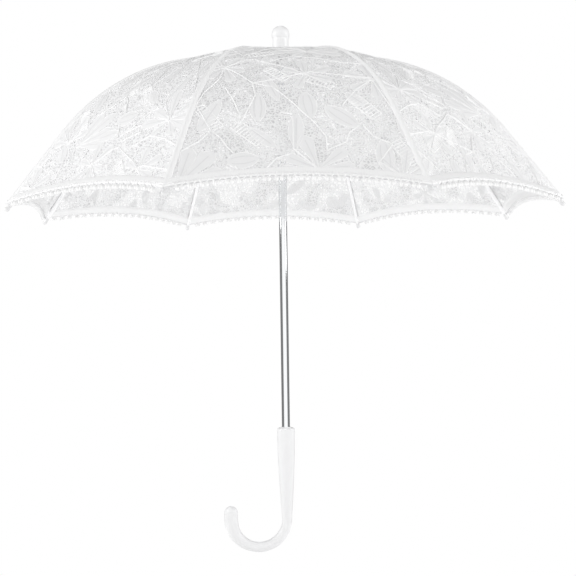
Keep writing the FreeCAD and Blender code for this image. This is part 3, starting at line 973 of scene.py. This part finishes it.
def seam_quads(side, low, high):
    """Half of the satin seam over a rib. Both halves pass the rib's ridge, so that they close over it."""
    rows = []
    for y in np.linspace(float(flat_y(low)), min(float(flat_y(high)), HEM_Y - SEAM_SHORT), SEAM_STEPS):
        edge = float(half_width(y))
        wide = min(SEAM_HALF, edge * SEAM_SHARE)
        profile = ((-wide, 0.0), (-wide + 0.0005, 0.0006), (-wide * 0.4, 0.0009), *SEAM_RIDGE)
        rows.append([(side * (edge + x), y, off) for x, off in profile])
    return strip(rows, side < 0, SEAM_KIND)


def flat_size(low, high):
    """Widest width and the length of one band of cloth, flat, and its area."""
    y = np.linspace(float(flat_y(low)), min(float(flat_y(high)), HEM_Y), 40)
    width = 2 * half_width(y)
    area = float(np.sum((width[1:] + width[:-1]) / 2 * np.diff(y)))
    if high >= HEM_RUN:
        area -= HEM_HALF * HEM_RISE_FLAT * 4 / 3
    return (float(width.max()), float(y[-1] - y[0])), area


VARIANTS = [split_flat(clip_flat(draw_panel(*cut_from))) for cut_from in CUTS]
PANELS = [VARIANTS[k % len(VARIANTS)] for k in range(RIBS)]


def make_gore(k):
    """The cloth and lace on rib k, to the middles of the panels beside it, in bands."""
    before, after = panel_azimuth(k - 1), panel_azimuth(k)
    body = f"rib_{k + 1}"
    for b, (low, high) in enumerate(zip(BANDS[:-1], BANDS[1:])):
        low = max(low, CLOTH_TOP)
        halves = [(after, base_grid(-1, low, high)), (before, base_grid(1, low, high))]
        cloth = make_piece(f"cloth_{k + 1}_{b + 1}", halves, [NET], body)
        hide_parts(f"canopy_panel_{k + 1}")
        gather(cloth)
        raised = [
            (after, PANELS[k].get((-1, b), []) + seam_quads(-1, low, high)),
            (before, PANELS[k - 1].get((1, b), []) + seam_quads(1, low, high)),
        ]
        lace = make_piece(f"lace_{k + 1}_{b + 1}", raised, LACE_MATERIALS, body)
        gather(lace)
        size, area = flat_size(low, high)


for k in range(RIBS):
    make_gore(k)


# ================================================================ hem: ribbon, braid and pompoms

# what each part of the braid is, in the order of BRAID_MATERIALS. The ground is a strip of painted shade
HEADER_KIND, YARN_KIND, SHADE_GROUND_KIND = 0, 1, 2
BRAID_MATERIALS = [CORD, YARN, SHADE_STRIP]


def ribbon_quads(side):
    """Satin ribbon folded over half a panel's hem. Its end laps over the rib."""
    rows = []
    for i in range(HEM_STEPS + 1):
        x = HEM_HALF * i / HEM_STEPS
        lap = RIB_LAP if i == HEM_STEPS else 0.0
        row = []
        for out, off in RIBBON_PROFILE:
            y = float(hem_y(x, out))
            row.append((side * (min(x, float(half_width(y))) + lap), y, off))
        rows.append(row)
    return strip(rows, side > 0, 0)


def ball_quads(middle, radii, rings=6, sides=10):
    """A tuft of yarn in flat cloth space, with its half sizes in x, y and off the cloth."""
    rows = []
    for i in range(rings + 1):
        lat = math.pi * i / rings
        row = []
        for j in range(sides):
            turn = 2 * math.pi * j / sides
            x = middle[0] + radii[0] * math.sin(lat) * math.cos(turn)
            y = middle[1] - radii[1] * math.cos(lat)
            row.append((x, y, middle[2] + radii[2] * math.sin(lat) * math.sin(turn)))
        rows.append(row)
    return sleeve(rows, YARN_KIND)


def tube_quads(path, radius, sides=5):
    """A round cord along flat points."""
    path = np.asarray(path, float)
    way = np.gradient(path, axis=0)
    way /= np.linalg.norm(way, axis=1, keepdims=True)
    side = np.stack([-way[:, 1], way[:, 0], 0 * way[:, 0]], axis=1)
    side /= np.maximum(np.linalg.norm(side, axis=1, keepdims=True), 1e-9)
    up = np.cross(way, side)
    turns = np.arange(sides) * 2 * math.pi / sides
    rings = []
    for p, a, b in zip(path, side, up):
        rings.append([tuple(p + radius * (a * math.cos(t) + b * math.sin(t))) for t in turns])
    return sleeve(rings, HEADER_KIND)


def hem_point(side, distance, out, off):
    """The flat point this far along the hem from the panel's middle, moved out of the cloth by out."""
    angle = distance / HEM_ARC_R
    r = HEM_ARC_R - out
    return (side * r * math.sin(angle), HEM_ARC_Y - r * math.cos(angle), off)


def header_quads(side):
    """The braid's tape over the ribbon's edge, a strip of painted shade below it that shows between the
    tufts, and the two cords along the tape.
    """
    tape = [
        [hem_point(side, d, out, off) for out, off in TAPE_PROFILE]
        for d in np.linspace(0, HEM_LENGTH + BRAID_LAP, TAPE_STEPS)
    ]
    ground = [
        [hem_point(side, d, out, SHADE_GROUND_OFF) for out in (0.0, SHADE_GROUND)]
        for d in np.linspace(0, HEM_LENGTH, TAPE_STEPS)
    ]
    polygons = strip(tape, side < 0, HEADER_KIND) + strip(ground, side < 0, SHADE_GROUND_KIND)
    for out in (HEADER_TOP, HEADER_FOOT):
        steps = np.linspace(0, HEM_LENGTH - BRAID_LAP, HEADER_STEPS)
        polygons += tube_quads([hem_point(side, d, out, HEADER_OFF) for d in steps], HEADER_R)
    return polygons


def braid_quads(side):
    """Half a panel's braid: its header, the zigzag on it, and the loops with a pair of tufts on each."""
    polygons = header_quads(side)
    count = int(HEM_LENGTH / POMPOM_PITCH - ZIGZAG_ROOM)
    zigzag = [
        hem_point(side, i * POMPOM_PITCH / ZIGS, ZIGZAG[i % 2], ZIGZAG_OFF)
        for i in range(count * ZIGS + 1)
    ]
    polygons += tube_quads(zigzag, ZIGZAG_R)
    for n in range(count + 1):
        middle = (n + 0.5) * POMPOM_PITCH
        if middle > HEM_LENGTH - POMPOM_ROOM:
            break
        loop = []
        for t in np.linspace(-1, 1, LOOP_STEPS):
            out = HEADER_FOOT + LOOP_DROP * (1 - t * t)
            loop.append(hem_point(side, middle + t * POMPOM_PITCH * LOOP_SHARE, out, HEADER_OFF))
        polygons += tube_quads(loop, LOOP_R)
        for lobe in (-1, 1):
            polygons += ball_quads(hem_point(side, middle + lobe * TUFT_APART, TUFT_OUT, TUFT_OFF), TUFT)
    return polygons


def make_hem(k):
    """The ribbon and the braid on the gore of rib k."""
    before, after = panel_azimuth(k - 1), panel_azimuth(k)
    body = f"rib_{k + 1}"
    halves = [(after, ribbon_quads(-1)), (before, ribbon_quads(1))]
    ribbon = make_piece(f"hem_ribbon_{k + 1}", halves, [SATIN], body)
    gather(ribbon)
    halves = [(after, braid_quads(-1)), (before, braid_quads(1))]
    braid = make_piece(f"pompom_braid_{k + 1}", halves, BRAID_MATERIALS, body)
    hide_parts(f"pompom_trim_{k + 1}")
    gather(braid)


for k in range(RIBS):
    make_hem(k)


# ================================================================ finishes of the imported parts

def finish_node(name, material):
    """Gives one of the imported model's own parts its material."""
    node = frame["nodes"][name]
    node.data.materials.clear()
    node.data.materials.append(material)


PLAIN = {
    "chrome_tube": CHROME,
    "white_plastic": SHADED_PLASTIC,
    "rib_paint": ENAMEL,
    "bright_wire": WIRE,
    "lace": NET,
    "pompom_braid": YARN,
}
for part in frame["record"]["subparts"]:
    finish_node(part["node"], PLAIN[part["material_slot"]])
finish_node("ferrule_knob", LIT_PLASTIC)
